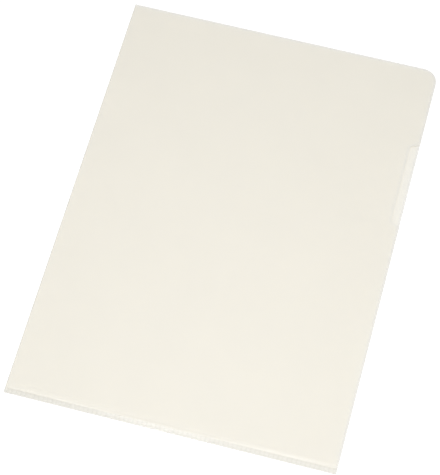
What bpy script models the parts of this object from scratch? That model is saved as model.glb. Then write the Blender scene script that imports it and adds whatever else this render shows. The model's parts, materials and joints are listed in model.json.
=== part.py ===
"""L-shaped A4 document folder of plastic film.

One die-cut blank is folded down its left side and welded along its foot, so the pocket opens at the top
and on the right. The folder lies flat: +X runs from the fold to the open side, +Y from the weld to the
open top, and +Z is up.
"""

import math

import bmesh
import bpy
from mathutils import Vector

# Driving dimensions, in metres
FOLDER_WIDTH = 0.220
FOLDER_LENGTH = 0.310
FILM_THICKNESS = 0.0002
POCKET_GAP = 0.0006
CORNER_RADIUS = 0.010
NOTCH_FROM_TOP = 0.059
NOTCH_LENGTH = 0.070
NOTCH_DEPTH = 0.0063
NOTCH_END_RUN = 0.007
WELD_WIDTH = 0.0036
WELD_THICKNESS = 0.0003
WELD_RIB_PITCH = 0.003
WELD_RIB_CREST = 0.0010
WELD_RIB_FLANK = 0.0004
WELD_RIB_HEIGHT = 0.0003
WELD_RIB_MARGIN = 0.0003
RISE_LENGTH = 0.005
GAP_AT_WELD = 0.0001
BEND_SETBACK = 0.006

# Clearance between neighbouring stretches of the blank
SEAM_GAP = 0.0003

# Smoothness of the rounded forms
ARC_STEPS = 10
FOLD_STEPS = 10
RISE_STEPS = 6
SHARP_EDGE_DEGREES = 40

# Places that follow from the dimensions
fold_x = -FOLDER_WIDTH / 2
open_x = FOLDER_WIDTH / 2
foot_y = -FOLDER_LENGTH / 2
top_y = FOLDER_LENGTH / 2
fold_radius = FILM_THICKNESS + POCKET_GAP / 2
leaf_x = fold_x + fold_radius + SEAM_GAP
leaf_y = foot_y + WELD_WIDTH + SEAM_GAP
rise_top_y = leaf_y + RISE_LENGTH
web_y = rise_top_y + SEAM_GAP
rise_lines = [leaf_y + RISE_LENGTH * step / RISE_STEPS for step in range(1, RISE_STEPS)]


def pocket_gap(y):
    """Height of the pocket: the front film rises from the weld in a smooth step."""
    share = min(max((y - leaf_y) / RISE_LENGTH, 0.0), 1.0)
    return GAP_AT_WELD + (POCKET_GAP - GAP_AT_WELD) * share * share * (3 - 2 * share)


def back_top(y):
    return FILM_THICKNESS


def front_top(y):
    return 2 * FILM_THICKNESS + pocket_gap(y)


def film_material(name, colour, roughness):
    """A satin film finish in one colour."""
    material = bpy.data.materials.new(name)
    material.use_nodes = True
    shader = material.node_tree.nodes["Principled BSDF"]
    shader.inputs["Base Color"].default_value = (*colour, 1.0)
    shader.inputs["Roughness"].default_value = roughness
    shader.inputs["Metallic"].default_value = 0.0
    return material


def add_object(name, mesh, material, place=(0.0, 0.0, 0.0)):
    """Puts a finished bmesh into the scene under its own name and material."""
    bmesh.ops.recalc_face_normals(mesh, faces=mesh.faces[:])
    data = bpy.data.meshes.new(name)
    mesh.to_mesh(data)
    mesh.free()
    data.materials.append(material)
    piece = bpy.data.objects.new(name, data)
    piece.location = place
    bpy.context.scene.collection.objects.link(piece)
    return piece


def film(name, outline, top, lines, material, place=(0.0, 0.0, 0.0)):
    """A stretch of film: its outline is filled, cut where it bends, raised and thickened downwards."""
    mesh = bmesh.new()
    mesh.faces.new([mesh.verts.new((x, y, 0.0)) for x, y in outline])
    for y in lines:
        cut = mesh.verts[:] + mesh.edges[:] + mesh.faces[:]
        bmesh.ops.bisect_plane(mesh, geom=cut, plane_co=(0.0, y, 0.0), plane_no=(0.0, 1.0, 0.0))
    for vert in mesh.verts:
        vert.co.z = top(vert.co.y)
    grown = bmesh.ops.extrude_face_region(mesh, geom=mesh.faces[:])["geom"]
    under = [item for item in grown if isinstance(item, bmesh.types.BMVert)]
    bmesh.ops.translate(mesh, verts=under, vec=(0.0, 0.0, -FILM_THICKNESS))
    bmesh.ops.translate(mesh, verts=mesh.verts[:], vec=-Vector(place))
    return add_object(name, mesh, material, place)


def arc(centre, radius, start, end):
    """Points along an arc in the plan, both ends included."""
    turns = [start + (end - start) * step / ARC_STEPS for step in range(ARC_STEPS + 1)]
    return [(centre[0] + radius * math.cos(a), centre[1] + radius * math.sin(a)) for a in turns]


def rounded_corner():
    """The free corner at the open top, from the top edge round to the open side."""
    centre = (open_x - CORNER_RADIUS, top_y - CORNER_RADIUS)
    return arc(centre, CORNER_RADIUS, math.pi / 2, 0.0)


def thumb_notch():
    """The notch's edge, going down the open side: each end is two equal arcs that meet in an S."""
    radius = (NOTCH_END_RUN**2 + NOTCH_DEPTH**2) / (4 * NOTCH_DEPTH)
    sweep = 2 * math.atan2(NOTCH_DEPTH, NOTCH_END_RUN)
    upper = top_y - NOTCH_FROM_TOP
    lower = upper - NOTCH_LENGTH
    floor_x = open_x - NOTCH_DEPTH
    half_turn = math.pi
    outline = arc((open_x - radius, upper), radius, 0.0, -sweep)
    outline += arc((floor_x + radius, upper - NOTCH_END_RUN), radius, half_turn - sweep, half_turn)[1:]
    outline += arc((floor_x + radius, lower + NOTCH_END_RUN), radius, -half_turn, sweep - half_turn)
    outline += arc((open_x - radius, lower), radius, sweep, 0.0)[1:]
    return outline


def loft(rings):
    """A closed solid through rings of equal point counts, capped at both ends."""
    mesh = bmesh.new()
    loops = [[mesh.verts.new(point) for point in ring] for ring in rings]
    count = len(loops[0])
    for near, far in zip(loops, loops[1:]):
        for i in range(count):
            j = (i + 1) % count
            mesh.faces.new((near[i], near[j], far[j], far[i]))
    mesh.faces.new(loops[0])
    mesh.faces.new(loops[-1])
    return mesh


def fold_ring(y):
    """Section of the folded edge: a half-round bend whose height follows the pocket."""
    tall = FILM_THICKNESS + pocket_gap(y) / 2
    centre_x = fold_x + fold_radius
    turns = [math.pi / 2 + math.pi * step / FOLD_STEPS for step in range(FOLD_STEPS + 1)]
    outer = [(fold_radius * math.cos(a), tall * math.sin(a)) for a in turns]
    inner_wide = fold_radius - FILM_THICKNESS
    inner_tall = tall - FILM_THICKNESS
    inner = [(inner_wide * math.cos(a), inner_tall * math.sin(a)) for a in reversed(turns)]
    return [(centre_x + x, y, tall + z) for x, z in outer + inner]


def rib_stations():
    """Places across the weld with the share of a rib's height there: up a flank, along the crest, down."""
    rib_width = WELD_RIB_CREST + 2 * WELD_RIB_FLANK
    count = int((FOLDER_WIDTH - rib_width) / WELD_RIB_PITCH)
    first = -WELD_RIB_PITCH * (count - 1) / 2
    stations = [(fold_x, 0.0)]
    for rib in range(count):
        middle = first + rib * WELD_RIB_PITCH
        for side in (-1, 1):
            edges = [(WELD_RIB_CREST / 2, 1.0), (rib_width / 2, 0.0)]
            for offset, share in edges[::side]:
                stations.append((middle + side * offset, share))
    stations.append((open_x, 0.0))
    return stations


def weld_profile():
    """Places over the weld's width with the share of a rib's height there: ribs stop short of the edges."""
    rib_start = foot_y + WELD_RIB_MARGIN
    rib_end = foot_y + WELD_WIDTH - WELD_RIB_MARGIN
    return [
        (foot_y, 0.0),
        (rib_start, 0.0),
        (rib_start + WELD_RIB_FLANK, 1.0),
        (rib_end - WELD_RIB_FLANK, 1.0),
        (rib_end, 0.0),
        (foot_y + WELD_WIDTH, 0.0),
    ]


def weld_ring(x, rib_share):
    """Section of the weld at one place across the folder, flat below and ribbed above."""
    profile = weld_profile()
    above = [(x, y, WELD_THICKNESS + WELD_RIB_HEIGHT * rib_share * share) for y, share in profile]
    below = [(x, y, 0.0) for y, share in reversed(profile)]
    return above + below


for old in list(bpy.data.objects):
    bpy.data.objects.remove(old)

# Back leaf: the rear panel, flat on the table, rounded at its free corner
back_outline = [(leaf_x, leaf_y), (open_x, leaf_y), *reversed(rounded_corner()), (leaf_x, top_y)]
back_film = film_material("back_leaf_film", (0.87, 0.84, 0.75), 0.45)
film("back_leaf", back_outline, back_top, [], back_film)

# Foot rise: the strip of front film that climbs from the weld to the height of the front leaf
rise_outline = [(leaf_x, leaf_y), (open_x, leaf_y), (open_x, rise_top_y), (leaf_x, rise_top_y)]
rise_film = film_material("foot_rise_film", (0.88, 0.85, 0.76), 0.40)
film("foot_rise", rise_outline, front_top, rise_lines, rise_film)

# Bend line: the free corner lifts about a line from the fold's top to the weld's far end
bend_top = Vector((fold_x + 2 * fold_radius + BEND_SETBACK, top_y, front_top(top_y)))
bend_side = Vector((open_x, web_y + BEND_SETBACK, front_top(top_y)))
bend_along = (bend_side - bend_top).normalized()
bend_across = Vector((-bend_along.y, bend_along.x, 0.0))
gap_on_top = SEAM_GAP / 2 / bend_across.x
gap_on_side = SEAM_GAP / 2 / bend_across.y

# Front leaf: the flat web of the front panel that the fold and the weld hold down
web_outline = [
    (leaf_x, web_y),
    (open_x, web_y),
    (open_x, bend_side.y - gap_on_side),
    (bend_top.x - gap_on_top, top_y),
    (leaf_x, top_y),
]
front_film = film_material("front_leaf_film", (0.88, 0.85, 0.76), 0.45)
film("front_leaf", web_outline, front_top, [], front_film)

# Free corner: the rest of the front panel, with its origin on the bend line
hinge = bpy.data.objects.new("corner_hinge", None)
hinge.location = (bend_top + bend_side) / 2
bpy.context.scene.collection.objects.link(hinge)
corner_outline = [
    (bend_top.x + gap_on_top, top_y),
    *rounded_corner(),
    *thumb_notch(),
    (open_x, bend_side.y + gap_on_side),
]
corner_film = film_material("free_corner_film", (0.88, 0.85, 0.76), 0.45)
corner = film("free_corner", corner_outline, front_top, [], corner_film, hinge.location)
corner.parent = hinge
corner.location = (0.0, 0.0, 0.0)

# Spine fold: the bend that joins the leaves, flattening into the weld
fold_film = film_material("spine_fold_film", (0.84, 0.82, 0.74), 0.35)
fold = loft([fold_ring(y) for y in [leaf_y, *rise_lines, rise_top_y, top_y]])
spine = add_object("spine_fold", fold, fold_film)
spine.data.shade_smooth()
spine.data.set_sharp_from_angle(angle=math.radians(SHARP_EDGE_DEGREES))

# Weld seam: the fused foot, ribbed by the welding bar
weld_film = film_material("weld_seam_film", (0.84, 0.82, 0.75), 0.30)
add_object("weld_seam", loft([weld_ring(x, share) for x, share in rib_stations()]), weld_film)
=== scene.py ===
"""Looks of an L-shaped document folder of milky cream film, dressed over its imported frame.

Lengths are in metres. The folder lies flat: +X runs from the fold to the open side, +Y from the weld to
the open top, and +Z is up.
"""

import json
import math
from functools import partial

import bmesh
import bpy
from mathutils import Matrix, Vector
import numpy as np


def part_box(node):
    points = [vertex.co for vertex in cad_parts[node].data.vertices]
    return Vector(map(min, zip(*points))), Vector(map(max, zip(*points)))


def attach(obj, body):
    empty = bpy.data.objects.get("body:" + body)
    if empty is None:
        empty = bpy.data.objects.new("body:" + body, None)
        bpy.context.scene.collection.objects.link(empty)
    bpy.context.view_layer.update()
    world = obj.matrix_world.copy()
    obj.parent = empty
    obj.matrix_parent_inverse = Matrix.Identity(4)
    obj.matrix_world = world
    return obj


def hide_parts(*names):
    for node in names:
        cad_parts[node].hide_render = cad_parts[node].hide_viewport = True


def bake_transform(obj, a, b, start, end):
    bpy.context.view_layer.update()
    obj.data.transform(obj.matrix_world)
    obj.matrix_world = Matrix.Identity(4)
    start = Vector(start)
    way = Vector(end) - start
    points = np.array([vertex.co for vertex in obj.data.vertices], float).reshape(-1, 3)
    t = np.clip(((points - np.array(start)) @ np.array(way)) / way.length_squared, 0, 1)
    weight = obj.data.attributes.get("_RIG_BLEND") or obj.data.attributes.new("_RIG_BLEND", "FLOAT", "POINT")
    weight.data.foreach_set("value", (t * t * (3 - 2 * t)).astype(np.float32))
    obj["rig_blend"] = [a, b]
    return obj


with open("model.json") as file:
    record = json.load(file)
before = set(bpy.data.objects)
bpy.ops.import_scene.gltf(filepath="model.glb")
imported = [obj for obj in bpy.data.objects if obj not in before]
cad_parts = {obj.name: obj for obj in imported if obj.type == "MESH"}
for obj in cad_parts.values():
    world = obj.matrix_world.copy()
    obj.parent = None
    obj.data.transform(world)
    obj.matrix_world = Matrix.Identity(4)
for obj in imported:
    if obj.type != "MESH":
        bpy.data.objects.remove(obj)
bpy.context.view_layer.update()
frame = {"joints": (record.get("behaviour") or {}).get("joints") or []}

# Back film: the rear half of the blank, a sheet of polypropylene tinted cream and milky all through.
# It was die-cut with one rounded corner, and it lies flat on the table under everything else.
back_low, back_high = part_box("back_leaf")
fold_low, fold_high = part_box("spine_fold")
weld_low, weld_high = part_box("weld_seam")
open_x = back_high.x
top_y = back_high.y
film_thickness = back_high.z - back_low.z
fold_radius = (fold_high.z - fold_low.z) / 2
fold_end_x = fold_low.x + fold_radius
join_lap = 0.00004
leaf_start_x = fold_end_x - join_lap
leaf_start_y = weld_high.y - join_lap
corner_radius = 0.010
corner_steps = 16
# Width of the band of painted shade along each die-cut edge.
cut_shade_band = 0.0022
sharp_angle = math.radians(40)
film_cream = (0.99, 0.972, 0.916)
# The die-cut edges fade to this grey: painted shade along the cut.
cut_shade_grey = (0.937, 0.93, 0.90)
film_cover = 0.5
film_refraction = 1.49
film_gloss = 0.5
film_roughness = 0.42
roughness_spread = 0.05
ironed_roughness = 0.12
haze_scale = 24.0
haze_detail = 3.0
haze_thinning = 0.985
grain_scale = 2800.0
grain_detail = 2.0
film_grain = 0.000008


def arc(centre, radius, start, end, steps):
    """Points along an arc in the plan, both ends included."""
    turns = [start + (end - start) * step / steps for step in range(steps + 1)]
    return [Vector((centre[0] + radius * math.cos(a), centre[1] + radius * math.sin(a))) for a in turns]


def rounded_corner():
    """The free corner, from the top edge round to the open side."""
    centre = (open_x - corner_radius, top_y - corner_radius)
    return arc(centre, corner_radius, math.pi / 2, 0.0, corner_steps)


def inset_line(points, inset):
    """A line moved to its right by the inset, with its turns mitred."""
    runs = [(after - before).normalized() for before, after in zip(points, points[1:])]
    moved = []
    for point, before, after in zip(points, runs[:1] + runs, runs + runs[-1:]):
        side = Vector((before.y, -before.x))
        middle = (side + Vector((after.y, -after.x))).normalized()
        moved.append(point + middle * (inset / middle.dot(side)))
    return moved


def add_sheet(mesh, cut_line, held_line, height):
    """A flat sheet inside its die-cut edge and the line that holds it, with a band of painted shade along the
    cut.
    """
    cut_edge_shade = mesh.verts.layers.float["cut_edge_shade"]
    outer = [mesh.verts.new((x, y, height)) for x, y in cut_line]
    inner = [mesh.verts.new((x, y, height)) for x, y in inset_line(cut_line, cut_shade_band)]
    held = [mesh.verts.new((x, y, height)) for x, y in held_line]
    for vert in outer:
        vert[cut_edge_shade] = 1.0
    for i in range(len(outer) - 1):
        mesh.faces.new((outer[i], inner[i], inner[i + 1], outer[i + 1]))
    mesh.faces.new([*reversed(held), *reversed(inner)])


def thicken(mesh):
    """Makes a sheet into film: a copy below by the film's thickness, with walls round the edge."""
    grown = bmesh.ops.extrude_face_region(mesh, geom=mesh.faces[:])["geom"]
    under = [item for item in grown if isinstance(item, bmesh.types.BMVert)]
    bmesh.ops.translate(mesh, verts=under, vec=(0.0, 0.0, -film_thickness))


def add_piece(name, mesh, material):
    """An object at the origin from a finished mesh, smooth but for its true edges."""
    bmesh.ops.recalc_face_normals(mesh, faces=mesh.faces[:])
    data = bpy.data.meshes.new(name)
    mesh.to_mesh(data)
    mesh.free()
    data.materials.append(material)
    data.shade_smooth()
    data.set_sharp_from_angle(angle=sharp_angle)
    piece = bpy.data.objects.new(name, data)
    bpy.context.scene.collection.objects.link(piece)
    return piece


def add_node(tree, kind, inputs=None, **settings):
    """A node with its settings, whose inputs take a value or another node's output."""
    node = tree.nodes.new(kind)
    for name, value in settings.items():
        setattr(node, name, value)
    sockets = {socket.identifier: socket for socket in node.inputs}
    for name, value in (inputs or {}).items():
        if isinstance(value, bpy.types.NodeSocket):
            tree.links.new(value, sockets[name])
        else:
            sockets[name].default_value = value
    return node


def maths(tree, operation, first, second=0.0, third=0.0):
    """The result of one step of arithmetic in a node tree."""
    inputs = {"Value": first, "Value_001": second, "Value_002": third}
    return add_node(tree, "ShaderNodeMath", inputs, operation=operation).outputs["Value"]


def film_noise(tree, place, scale, detail):
    """Noise that drifts over the film."""
    inputs = {"Vector": place, "Scale": scale, "Detail": detail}
    return add_node(tree, "ShaderNodeTexNoise", inputs).outputs["Fac"]


def film_mark(tree, name):
    """How strong a mark on the mesh is there, from 0 to 1, and 0 on a mesh that does not carry it."""
    return add_node(tree, "ShaderNodeAttribute", attribute_name=name).outputs["Fac"]


def film_tint(tree, share, first, second):
    """A colour that goes from the first to the second as the share goes from 0 to 1."""
    inputs = {"Factor_Float": share, "A_Color": first, "B_Color": second}
    mix = add_node(tree, "ShaderNodeMix", inputs, data_type="RGBA")
    return {socket.identifier: socket for socket in mix.outputs}["Result_Color"]


def film_finish(name, colour, roughness, grain_depth, gloss_level):
    """Milky film with drifting haze and a fine embossed grain.

    Marks on its mesh show kept milkiness and painted light on rib crests, painted shade along cuts, and
    ironing by heat.
    """
    material = bpy.data.materials.new(name)
    material.use_nodes = True
    tree = material.node_tree
    shader = tree.nodes["Principled BSDF"]
    shader.inputs["Alpha"].default_value = film_cover
    shader.inputs["IOR"].default_value = film_refraction
    shader.inputs["Specular IOR Level"].default_value = gloss_level
    place = add_node(tree, "ShaderNodeTexCoord").outputs["Object"]
    haze = film_noise(tree, place, haze_scale, haze_detail)
    thin = [haze_thinning * part for part in colour]
    tint = film_tint(tree, haze, (*thin, 1.0), (*colour, 1.0))
    # Towards cream where the weld keeps milkiness at its foot, and painted light on the weld's rib crests.
    tint = film_tint(tree, film_mark(tree, "milk_and_crest_light"), tint, (*film_cream, 1.0))
    # Towards grey along a die-cut edge: painted shade.
    tint = film_tint(tree, film_mark(tree, "cut_edge_shade"), tint, (*cut_shade_grey, 1.0))
    tree.links.new(tint, shader.inputs["Base Color"])
    grain = film_noise(tree, place, grain_scale, grain_detail)
    ironed = film_mark(tree, "ironed")
    embossed = {"Height": grain, "Strength": maths(tree, "SUBTRACT", 1.0, ironed), "Distance": grain_depth}
    relief = add_node(tree, "ShaderNodeBump", embossed).outputs["Normal"]
    tree.links.new(relief, shader.inputs["Normal"])
    smoothest = roughness - roughness_spread
    roughest = roughness + roughness_spread
    satin_range = {"Value": grain, "To Min": smoothest, "To Max": roughest}
    satin = add_node(tree, "ShaderNodeMapRange", satin_range).outputs["Result"]
    ironing = {"Factor_Float": ironed, "A_Float": satin, "B_Float": ironed_roughness}
    gloss = add_node(tree, "ShaderNodeMix", ironing).outputs["Result"]
    tree.links.new(gloss, shader.inputs["Roughness"])
    return material


back_finish = film_finish("back_film_cream", film_cream, film_roughness, film_grain, film_gloss)
back_mesh = bmesh.new()
# A mark for the band of painted shade along the die-cut edge.
back_mesh.verts.layers.float.new("cut_edge_shade")
back_cut = [Vector((leaf_start_x, top_y)), *rounded_corner(), Vector((open_x, leaf_start_y))]
add_sheet(back_mesh, back_cut, [Vector((leaf_start_x, leaf_start_y))], back_high.z)
thicken(back_mesh)
back_film = add_piece("back_film", back_mesh, back_finish)
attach(back_film, "pocket")
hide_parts("back_leaf")

# Fold: where the blank turns over on itself down its left side, a soft half-round of the same film.
# The fold is pressed, not scored, so it stays open by the pocket's height and closes into the weld.
# The press leaves it a little smoother than the leaves; its greyer colour is painted shade along the fold.
front_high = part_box("front_leaf")[1]
rise_end_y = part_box("foot_rise")[1].y
channel_from_foot = 0.0022
channel_top = 0.00035
steepest_from_foot = 0.0045
channel_y = weld_low.y + channel_from_foot
steepest_y = weld_low.y + steepest_from_foot
rise_rows = 16
fold_steps = 12
# The fold's greyer colour is painted shade along the fold.
fold_shade_grey = (0.95, 0.941, 0.90)
fold_roughness = 0.32
fold_grain = 0.000005


def front_top(y):
    """Height of the front film: it sweeps up from the channel of the weld and eases off to lie level."""
    sweep = steepest_y - channel_y
    ease = rise_end_y - steepest_y
    slope = (front_high.z - channel_top) / (sweep / 3 + ease / 2)
    if y < steepest_y:
        return channel_top + slope * sweep / 3 * ((y - channel_y) / sweep) ** 3
    return front_high.z - slope * ease / 2 * (max(rise_end_y - y, 0.0) / ease) ** 2


def fold_ring(y):
    """Section of the fold: outer and inner half-round, as tall as the pocket is there."""
    tall = front_top(y) / 2
    turns = [math.pi / 2 + math.pi * step / fold_steps for step in range(fold_steps + 1)]
    outer = [(fold_radius * math.cos(a), tall * math.sin(a)) for a in turns]
    wide_in = fold_radius - film_thickness
    tall_in = tall - film_thickness
    inner = [(wide_in * math.cos(a), tall_in * math.sin(a)) for a in reversed(turns)]
    return [(fold_end_x + x, y, tall + z) for x, z in outer + inner]


rise_stations = [leaf_start_y + (rise_end_y - leaf_start_y) * row / rise_rows for row in range(rise_rows + 1)]
fold_mesh = bmesh.new()
fold_loops = [[fold_mesh.verts.new(point) for point in fold_ring(y)] for y in [*rise_stations, top_y]]
for near, far in zip(fold_loops, fold_loops[1:]):
    for i in range(len(near)):
        j = (i + 1) % len(near)
        fold_mesh.faces.new((near[i], near[j], far[j], far[i]))
for end in (fold_loops[0], fold_loops[-1]):
    half = len(end) // 2
    for i in range(half - 1):
        fold_mesh.faces.new((end[i], end[i + 1], end[-i - 2], end[-i - 1]))
fold_finish = film_finish("fold_film_cream", fold_shade_grey, fold_roughness, fold_grain, film_gloss)
fold_film = add_piece("fold_film", fold_mesh, fold_finish)
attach(fold_film, "pocket")
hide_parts("spine_fold")

# Front film: the other half of the blank, with the thumb notch and the rounded corner cut through it.
# It springs up from the weld in fine puckers, ironed glossy at first by the bar's heat, and lies level.
# Its free corner bends up to open the pocket.
notch_from_top = 0.059
notch_length = 0.070
notch_depth = 0.0063
notch_run = 0.007
notch_steps = 12
pucker_pitch = 0.003
pucker_height = 0.000012
pucker_gain = 12.2
pucker_fade = 4
pucker_columns = 8
ironed_length = 0.0024
ironed_fade = 0.0012
doubles_reach = join_lap / 10
bend_length = 0.055
bend_steps = 28


def thumb_notch():
    """The notch's edge, going down the open side: each end is two equal arcs that meet in an S."""
    radius = (notch_run**2 + notch_depth**2) / (4 * notch_depth)
    sweep = 2 * math.atan2(notch_depth, notch_run)
    upper = top_y - notch_from_top
    lower = upper - notch_length
    floor_x = open_x - notch_depth
    edge = arc((open_x - radius, upper), radius, 0.0, -sweep, notch_steps)
    edge += arc((floor_x + radius, upper - notch_run), radius, math.pi - sweep, math.pi, notch_steps)[1:]
    edge += arc((floor_x + radius, lower + notch_run), radius, -math.pi, sweep - math.pi, notch_steps)
    edge += arc((open_x - radius, lower), radius, sweep, 0.0, notch_steps)[1:]
    return edge


def pucker(x, y):
    """Ripples at the pitch of the weld's ribs, which swell to their full height and die out up the rise."""
    share = (y - leaf_start_y) / (rise_end_y - leaf_start_y)
    swell = pucker_gain * share * (1 - share) ** pucker_fade
    return pucker_height * swell * math.cos(2 * math.pi * x / pucker_pitch)


front_mesh = bmesh.new()
# A mark for the band of painted shade along the open side.
cut_edge_shade = front_mesh.verts.layers.float.new("cut_edge_shade")
ironed = front_mesh.verts.layers.float.new("ironed")
cut_start_x = open_x - cut_shade_band
columns = round((cut_start_x - leaf_start_x) / pucker_pitch * pucker_columns)
column_x = [leaf_start_x + (cut_start_x - leaf_start_x) * column / columns for column in range(columns + 1)]
column_x.append(open_x)
rows = []
for y in rise_stations:
    rows.append([front_mesh.verts.new((x, y, front_top(y) + pucker(x, y))) for x in column_x])
    rows[-1][-1][cut_edge_shade] = 1.0
    for vert in rows[-1]:
        vert[ironed] = min(max((leaf_start_y + ironed_length - y) / ironed_fade, 0.0), 1.0)
for low_row, high_row in zip(rows, rows[1:]):
    for i in range(len(low_row) - 1):
        front_mesh.faces.new((low_row[i], low_row[i + 1], high_row[i + 1], high_row[i]))
front_cut = [Vector((leaf_start_x, top_y)), *rounded_corner(), *thumb_notch(), Vector((open_x, rise_end_y))]
front_held = [Vector((x, rise_end_y)) for x in reversed(column_x[:-2])]
add_sheet(front_mesh, front_cut, front_held, front_high.z)
bmesh.ops.remove_doubles(front_mesh, verts=front_mesh.verts[:], dist=doubles_reach)
corner_joint = frame["joints"][0]
bend_start = Vector(corner_joint["pos_m"])
bend_axis = Vector(corner_joint["axis"])
bend_across = Vector((-bend_axis.y, bend_axis.x, 0.0)).normalized()
bend_end = bend_start + bend_across * bend_length
for step in range(bend_steps + 1):
    crossed = front_mesh.verts[:] + front_mesh.edges[:] + front_mesh.faces[:]
    place = bend_start.lerp(bend_end, step / bend_steps)
    bmesh.ops.bisect_plane(front_mesh, geom=crossed, plane_co=place, plane_no=bend_across)
thicken(front_mesh)
front_finish = film_finish("front_film_cream", film_cream, film_roughness, film_grain, film_gloss)
front_film = add_piece("front_film", front_mesh, front_finish)
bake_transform(front_film, "pocket", "corner", start=bend_start, end=bend_end)
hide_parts("front_leaf", "free_corner", "foot_rise")

# Weld: the foot of both films fused into one strip under a hot bar, which left it dished, with low ribs.
# The fused strip is clearer, greyer and glossier than the film, but its trimmed foot edge keeps some of the
# film's milkiness.
# The crests of its ribs are lighter: partly milkiness they kept, partly painted light for the relief of the
# ribs.
weld_length = weld_high.x - weld_low.x
weld_width = weld_high.y - weld_low.y
weld_middle = (weld_low + weld_high) / 2
weld_cell = 0.00025
weld_row = 0.00012
weld_merge = 0.000001
weld_proud = 0.000005
foot_bead = 0.00010
foot_band = 0.0010
rib_pitch = 0.003
rib_crest = 0.0013
rib_flank = 0.00085
rib_fade = 0.0016
rib_height = 0.00006
# Share of cream on the rib crests: partly kept milkiness, partly painted light for the ribs' relief.
crest_milk_and_light = 0.45
weld_grey = (0.875, 0.857, 0.795)
weld_roughness = 0.12
weld_grain = 0.0000015
weld_gloss = 0.85


def smooth_ramp(tree, value, low, high, start=0.0, end=1.0):
    """A result that eases from start to end as the value goes from low to high."""
    inputs = {"Value": value, "From Min": low, "From Max": high, "To Min": start, "To Max": end}
    return add_node(tree, "ShaderNodeMapRange", inputs, interpolation_type="SMOOTHSTEP").outputs["Result"]


def weld_relief(tree, given):
    """The lift of the weld's top by its ribs, foot bead and lip at the rise; its milkiness, and painted light
    on crests.
    """
    add = partial(maths, tree, "ADD")
    subtract = partial(maths, tree, "SUBTRACT")
    multiply = partial(maths, tree, "MULTIPLY")
    divide = partial(maths, tree, "DIVIDE")
    larger = partial(maths, tree, "MAXIMUM")
    cube = partial(maths, tree, "POWER", second=3.0)
    place = add_node(tree, "GeometryNodeInputPosition").outputs["Position"]
    along = add_node(tree, "ShaderNodeSeparateXYZ", {"Vector": place}).outputs
    half_width = divide(given["Width"], 2.0)
    off_foot = add(half_width, along["Y"])
    off_rise = subtract(half_width, along["Y"])

    half_pitch = divide(given["Rib Pitch"], 2.0)
    half_crest = divide(given["Rib Crest"], 2.0)
    off_rib = subtract(half_pitch, maths(tree, "PINGPONG", along["X"], half_pitch))
    flank_end = add(half_crest, given["Rib Flank"])
    across_rib = subtract(1.0, smooth_ramp(tree, off_rib, half_crest, flank_end))
    along_rib = smooth_ramp(tree, off_rise, 0.0, given["Rib Fade"])
    rib = multiply(given["Rib Height"], multiply(across_rib, along_rib))

    off_channel = subtract(along["Y"], given["Channel Offset"])
    to_foot = multiply(divide(off_channel, add(half_width, given["Channel Offset"])), -1.0)
    to_rise = divide(off_channel, subtract(half_width, given["Channel Offset"]))
    bead = multiply(given["Foot Bead"], cube(larger(to_foot, 0.0)))
    lip = multiply(given["Rise Lip"], cube(larger(to_rise, 0.0)))
    lift = add(rib, add(bead, lip))

    foot_milk = subtract(1.0, smooth_ramp(tree, off_foot, 0.0, given["Foot Band"]))
    # The rib crests take cream: partly kept milkiness, partly painted light.
    rib_milk_and_light = multiply(given["Crest Milk And Light"], across_rib)
    return lift, larger(foot_milk, rib_milk_and_light)


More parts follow.
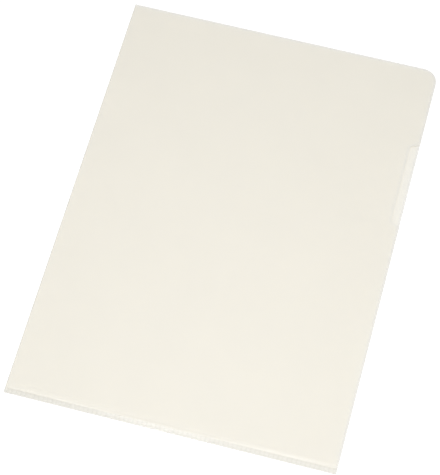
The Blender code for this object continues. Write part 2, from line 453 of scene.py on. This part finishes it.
def ribbed_weld_tree():
    """Geometry nodes: a strip, dished along its length and ribbed across, closed by a flat underside."""
    tree = bpy.data.node_groups.new("ribbed weld", "GeometryNodeTree")
    strip_sizes = ["Length", "Width", "Cell", "Row", "Merge Reach", "Foot Band"]
    channel_sizes = ["Channel Offset", "Channel Thickness", "Foot Bead", "Rise Lip"]
    rib_sizes = ["Rib Pitch", "Rib Crest", "Rib Flank", "Rib Fade", "Rib Height", "Crest Milk And Light"]
    for name in strip_sizes + channel_sizes + rib_sizes:
        tree.interface.new_socket(name, in_out="INPUT", socket_type="NodeSocketFloat")
    tree.interface.new_socket("Middle", in_out="INPUT", socket_type="NodeSocketVector")
    tree.interface.new_socket("Material", in_out="INPUT", socket_type="NodeSocketMaterial")
    tree.interface.new_socket("Geometry", in_out="OUTPUT", socket_type="NodeSocketGeometry")
    given = add_node(tree, "NodeGroupInput").outputs
    lift, milk_and_light = weld_relief(tree, given)

    columns = maths(tree, "ROUND", maths(tree, "DIVIDE", given["Length"], given["Cell"]))
    rows = maths(tree, "ROUND", maths(tree, "DIVIDE", given["Width"], given["Row"]))
    sizes = {"Size X": given["Length"], "Size Y": given["Width"], "Vertices X": columns, "Vertices Y": rows}
    grid = add_node(tree, "GeometryNodeMeshGrid", sizes).outputs["Mesh"]
    thick = {"Mesh": grid, "Offset Scale": given["Channel Thickness"], "Individual": False}
    walls = add_node(tree, "GeometryNodeExtrudeMesh", thick).outputs
    upwards = add_node(tree, "ShaderNodeCombineXYZ", {"Z": lift}).outputs["Vector"]
    raised = {"Geometry": walls["Mesh"], "Selection": walls["Top"], "Offset": upwards}
    top = add_node(tree, "GeometryNodeSetPosition", raised).outputs["Geometry"]
    underside = add_node(tree, "GeometryNodeFlipFaces", {"Mesh": grid}).outputs["Mesh"]
    both = add_node(tree, "GeometryNodeJoinGeometry")
    tree.links.new(top, both.inputs["Geometry"])
    tree.links.new(underside, both.inputs["Geometry"])
    merged = {"Geometry": both.outputs["Geometry"], "Distance": given["Merge Reach"]}
    closed = add_node(tree, "GeometryNodeMergeByDistance", merged).outputs["Geometry"]
    # Stored for the finish: milkiness at the foot edge and painted light on the rib crests.
    storing_milk_and_light = {"Geometry": closed, "Name": "milk_and_crest_light", "Value": milk_and_light}
    with_milk_and_light = add_node(tree, "GeometryNodeStoreNamedAttribute", storing_milk_and_light).outputs["Geometry"]
    moved = {"Geometry": with_milk_and_light, "Translation": given["Middle"]}
    placed = add_node(tree, "GeometryNodeTransform", moved).outputs["Geometry"]
    real = add_node(tree, "GeometryNodeRealizeInstances", {"Geometry": placed}).outputs["Geometry"]
    painted = add_node(tree, "GeometryNodeSetMaterial", {"Geometry": real, "Material": given["Material"]})
    finished = tree.interface.items_tree["Geometry"].identifier
    add_node(tree, "NodeGroupOutput", {finished: painted.outputs["Geometry"]})
    return tree


weld_finish = film_finish("weld_film_cream", weld_grey, weld_roughness, weld_grain, weld_gloss)
weld_film = bpy.data.objects.new("weld_film", bpy.data.meshes.new("weld_film"))
bpy.context.scene.collection.objects.link(weld_film)
weld_maker = weld_film.modifiers.new("ribbed weld", "NODES")
weld_maker.node_group = ribbed_weld_tree()
weld_inputs = {
    "Length": weld_length,
    "Width": weld_width,
    "Cell": weld_cell,
    "Row": weld_row,
    "Merge Reach": weld_merge,
    "Foot Band": foot_band,
    "Channel Offset": channel_y - weld_middle.y,
    "Channel Thickness": channel_top + weld_proud,
    "Foot Bead": foot_bead,
    "Rise Lip": front_top(weld_high.y) - channel_top,
    "Rib Pitch": rib_pitch,
    "Rib Crest": rib_crest,
    "Rib Flank": rib_flank,
    "Rib Fade": rib_fade,
    "Rib Height": rib_height,
    "Crest Milk And Light": crest_milk_and_light,
    "Middle": (weld_middle.x, weld_middle.y, weld_low.z),
    "Material": weld_finish,
}
for item in weld_maker.node_group.interface.items_tree:
    if item.in_out == "INPUT":
        weld_maker[item.identifier] = weld_inputs[item.name]
weld_made = weld_film.evaluated_get(bpy.context.evaluated_depsgraph_get())
weld_data = bpy.data.meshes.new_from_object(weld_made)
weld_film.modifiers.remove(weld_maker)
weld_film.data = weld_data
weld_data.shade_smooth()
weld_data.set_sharp_from_angle(angle=sharp_angle)
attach(weld_film, "pocket")
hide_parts("weld_seam")

# Table: a plain white surface under the folder, which shows as white and keeps the folder's shadow.
# It has a glow of its own, stronger further off, which is not seen through the film.
floor_half = 6.0
floor_drop = 0.0003
floor_white = 0.96
floor_roughness = 0.9
floor_glow = 0.20
far_glow = 0.50
glow_start = 0.25
glow_end = 1.1
plain_white = (1.0, 1.0, 1.0, 1.0)
floor_mesh = bmesh.new()
bmesh.ops.create_grid(floor_mesh, x_segments=1, y_segments=1, size=floor_half)
bmesh.ops.translate(floor_mesh, verts=floor_mesh.verts[:], vec=(0.0, 0.0, -floor_drop))


def seen_directly(tree):
    """One for a ray that shows the background, straight on or mirrored, and zero for one that lights."""
    path = add_node(tree, "ShaderNodeLightPath").outputs
    seen = path["Is Camera Ray"]
    for other in ("Is Glossy Ray", "Is Transmission Ray"):
        seen = maths(tree, "MAXIMUM", seen, path[other])
    return seen


def seen_beside_film(tree):
    """The same for the table, but zero where the table is seen through one face of film or more."""
    faces_passed = add_node(tree, "ShaderNodeLightPath").outputs["Transparent Depth"]
    return maths(tree, "MULTIPLY", seen_directly(tree), maths(tree, "LESS_THAN", faces_passed, 1.0))


floor_finish = bpy.data.materials.new("white_table")
floor_finish.use_nodes = True
floor_tree = floor_finish.node_tree
floor_shader = floor_tree.nodes["Principled BSDF"]
floor_shader.inputs["Base Color"].default_value = (floor_white, floor_white, floor_white, 1.0)
floor_shader.inputs["Roughness"].default_value = floor_roughness
floor_shader.inputs["Specular IOR Level"].default_value = 0.0
floor_shader.inputs["Emission Color"].default_value = plain_white
floor_spot = add_node(floor_tree, "ShaderNodeTexCoord").outputs["Object"]
floor_reach = add_node(floor_tree, "ShaderNodeVectorMath", {"Vector": floor_spot}, operation="LENGTH")
glow = smooth_ramp(floor_tree, floor_reach.outputs["Value"], glow_start, glow_end, floor_glow, far_glow)
glow_seen = maths(floor_tree, "MULTIPLY", seen_beside_film(floor_tree), glow)
floor_tree.links.new(glow_seen, floor_shader.inputs["Emission Strength"])
floor = add_piece("table", floor_mesh, floor_finish)

# Light: an even white room, a bright strip lamp below a wide soft one, a short strip on the left and a
# small fill lamp. Lamps that overlap hang at heights of their own, so that none lies in another's plane.
# Light goes in and out of four faces of milky film, so its paths may have many bounces.
room_level = 0.531
world = bpy.data.worlds.new("white_room")
bpy.context.scene.world = world
world.use_nodes = True
room_tree = world.node_tree
room_shader = room_tree.nodes["Background"]
room_shader.inputs["Color"].default_value = plain_white
room_seen = maths(room_tree, "MULTIPLY_ADD", seen_directly(room_tree), 1.0 - room_level, room_level)
room_tree.links.new(room_seen, room_shader.inputs["Strength"])


def add_lamp(name, place, turn, length, width, power):
    """A soft lamp that shines straight down, turned by an angle in degrees."""
    data = bpy.data.lights.new(name, "AREA")
    data.energy = power
    data.shape = "RECTANGLE"
    data.size = length
    data.size_y = width
    lamp = bpy.data.objects.new(name, data)
    lamp.location = place
    lamp.rotation_euler.z = math.radians(turn)
    lamp.visible_camera = False
    bpy.context.scene.collection.objects.link(lamp)


add_lamp("right_lamp", place=(0.077, -0.230, 0.75), turn=115, length=0.88, width=0.07, power=1.15)
add_lamp("wide_lamp", place=(0.077, -0.230, 0.77), turn=115, length=0.88, width=0.50, power=1.85)
add_lamp("left_lamp", place=(-0.178, -0.010, 0.76), turn=70, length=0.36, width=0.10, power=0.41)
add_lamp("fill_lamp", place=(0.32, 0.20, 0.75), turn=90, length=0.30, width=0.30, power=0.33)
bpy.context.scene.view_settings.view_transform = "Standard"
bounces = bpy.context.scene.cycles
bounces.max_bounces = 48
bounces.diffuse_bounces = 24
bounces.glossy_bounces = 24
bounces.transparent_max_bounces = 96

# Camera: a long lens that looks down on the folder from the side of its foot.
# Its place, its turn and its slight roll follow from where the folder's corners lie in the photograph.
view_azimuth = math.radians(-14.42)
view_elevation = math.radians(62.17)
view_roll = math.radians(0.48)
camera_place = Vector((0.1589, -0.64425, 1.2402))
camera_data = bpy.data.cameras.new("camera")
camera_data.lens = 158.76
camera_data.sensor_width = 36.0
camera_data.clip_end = 50.0
camera = bpy.data.objects.new("camera", camera_data)
flat = math.cos(view_elevation)
ahead = Vector((math.sin(view_azimuth) * flat, math.cos(view_azimuth) * flat, -math.sin(view_elevation)))
right = Vector((math.cos(view_azimuth), -math.sin(view_azimuth), 0.0))
turn = Matrix((right, right.cross(ahead), -ahead)).transposed() @ Matrix.Rotation(view_roll, 3, "Z")
camera.matrix_world = Matrix.LocRotScale(camera_place, turn, None)
bpy.context.scene.collection.objects.link(camera)
bpy.context.scene.camera = camera
